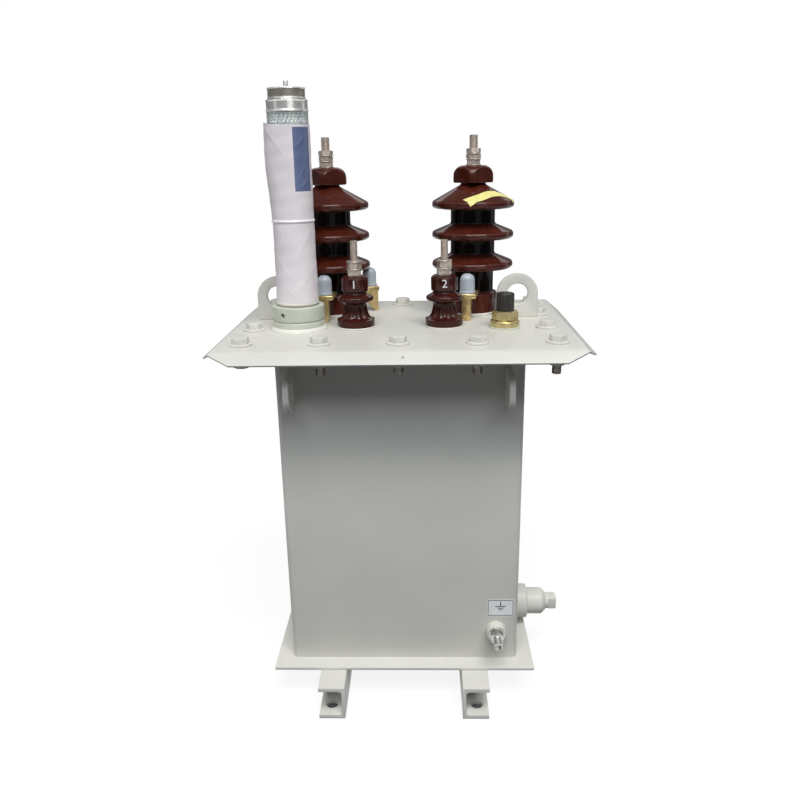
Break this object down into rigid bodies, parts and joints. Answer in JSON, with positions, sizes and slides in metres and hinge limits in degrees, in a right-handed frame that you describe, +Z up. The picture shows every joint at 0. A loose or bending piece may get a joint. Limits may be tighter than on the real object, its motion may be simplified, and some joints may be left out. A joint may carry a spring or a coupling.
{
  "type": "single-phase transformer",
  "caption": "Small oil-filled single-phase transformer: grey welded tank on channel skids, bolted lid with brown porcelain bushings, tube breather, filler plug and drain.",
  "frame": {"origin": "on the floor under the middle of the tank", "axes": "+Z up, +X to the viewer's right, -Y to the front"},
  "size_m": [0.487, 0.367, 0.849],
  "materials": {
    "grey_enamel": "semi-gloss light warm grey enamel",
    "cork_gasket": "dark rubber-cork sheet",
    "white_seat": "white rubber ring",
    "brown_glaze": "glossy dark red-brown glaze",
    "tinned_steel": "dull tinned thread",
    "yellow_zinc": "yellow-passivated casting",
    "blue_grey_plastic": "pale blue-grey moulded cap",
    "ring_enamel": "pale green-grey enamel",
    "clear_tube": "clear tube under a white film",
    "gel": "pale silica granules",
    "spun_aluminium": "turned aluminium",
    "dark_knurl": "dark knurled ring",
    "brass": "turned brass",
    "black_plastic": "black ribbed cap",
    "zinc": "zinc-plated steel"
  },
  "bodies": {
    "root": {"skid_left": "grey_enamel", "skid_right": "grey_enamel", "base_plate": "grey_enamel", "tank_shell": "grey_enamel", "tank_rim": "grey_enamel", "lid_gasket": "cork_gasket", "lid": "grey_enamel", "lid_lug_left": "grey_enamel", "lid_lug_right": "grey_enamel", "tank_lugs_front": "grey_enamel", "tank_lugs_rear": "grey_enamel", "hv_seat_left": "white_seat", "hv_seat_right": "white_seat", "hv_bushing_left": "brown_glaze", "hv_bushing_right": "brown_glaze", "hv_cap_left": "brown_glaze", "hv_cap_right": "brown_glaze", "hv_terminal_left": "tinned_steel", "hv_terminal_right": "tinned_steel", "hv_claws_left": "yellow_zinc", "hv_claws_right": "yellow_zinc", "claw_caps_left": "blue_grey_plastic", "claw_caps_right": "blue_grey_plastic", "lv_seat_left": "white_seat", "lv_seat_right": "white_seat", "lv_bushing_left": "brown_glaze", "lv_bushing_right": "brown_glaze", "lv_terminal_left": "tinned_steel", "lv_terminal_right": "tinned_steel", "breather_base": "ring_enamel", "breather_ring": "ring_enamel", "breather_tube": "clear_tube", "breather_gel": "gel", "breather_collar": "spun_aluminium", "breather_knob": "dark_knurl", "filler_washer": "zinc", "filler_base": "brass", "filler_cap": "black_plastic", "earth_boss": "grey_enamel", "earth_terminal": "zinc", "drain_collar": "grey_enamel", "drain_body": "grey_enamel", "drain_plug": "grey_enamel"}
  },
  "joints": []
}
